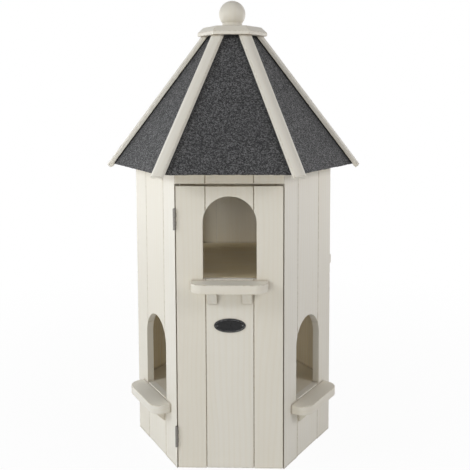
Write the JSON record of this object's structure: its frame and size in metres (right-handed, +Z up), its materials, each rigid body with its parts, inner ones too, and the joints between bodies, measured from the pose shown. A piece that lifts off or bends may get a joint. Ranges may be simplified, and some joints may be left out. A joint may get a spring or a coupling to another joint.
{
  "type": "dovecote",
  "caption": "Six-sided wooden dovecote with arched holes and perches at two levels, a hinged front, and a steep felted roof with hip battens, a cap and a ball.",
  "frame": {"origin": "on the floor below the finial, in the middle of the six-sided body", "axes": "+Z up, -Y out of the hinged front, +X to the right of one who faces the front"},
  "size_m": [0.582, 0.511, 1.0023],
  "materials": {
    "white_wood": "white stained softwood, satin",
    "roof_felt": "bitumen roofing felt with mineral granules, matt",
    "dark_steel": "dull dark steel",
    "black_plate": "black, semi-gloss"
  },
  "bodies": {
    "house": {"wall_front_right": "white_wood", "wall_rear_right": "white_wood", "wall_rear": "white_wood", "wall_rear_left": "white_wood", "wall_front_left": "white_wood", "front_header": "white_wood", "floor_lower": "white_wood", "floor_upper": "white_wood", "roof_cap": "white_wood", "finial_ball": "white_wood", "roof_board_front": "white_wood", "roof_board_front_right": "white_wood", "roof_board_rear_right": "white_wood", "roof_board_rear": "white_wood", "roof_board_rear_left": "white_wood", "roof_board_front_left": "white_wood", "roof_felt_front": "roof_felt", "roof_felt_front_right": "roof_felt", "roof_felt_rear_right": "roof_felt", "roof_felt_rear": "roof_felt", "roof_felt_rear_left": "roof_felt", "roof_felt_front_left": "roof_felt", "hip_batten_left": "white_wood", "hip_batten_front_left": "white_wood", "hip_batten_front_right": "white_wood", "hip_batten_right": "white_wood", "hip_batten_rear_right": "white_wood", "hip_batten_rear_left": "white_wood", "perch_front_right": "white_wood", "perch_brackets_front_right": "white_wood", "perch_rear_right": "white_wood", "perch_brackets_rear_right": "white_wood", "perch_rear": "white_wood", "perch_brackets_rear": "white_wood", "perch_rear_left": "white_wood", "perch_brackets_rear_left": "white_wood", "perch_front_left": "white_wood", "perch_brackets_front_left": "white_wood", "hinge_frame_leaves": "dark_steel"},
    "door": {"door_panel": "white_wood", "door_ledges": "white_wood", "door_perch": "white_wood", "door_perch_brackets": "white_wood", "name_plate": "black_plate", "hinge_door_leaves": "dark_steel"}
  },
  "joints": [
    {"name": "door_hinge", "type": "hinge", "parent": "house", "child": "door", "pos_m": [-0.1138, -0.19711, 0.3035], "axis": [0, 0, -1], "range_deg": [0, 170]}
  ]
}
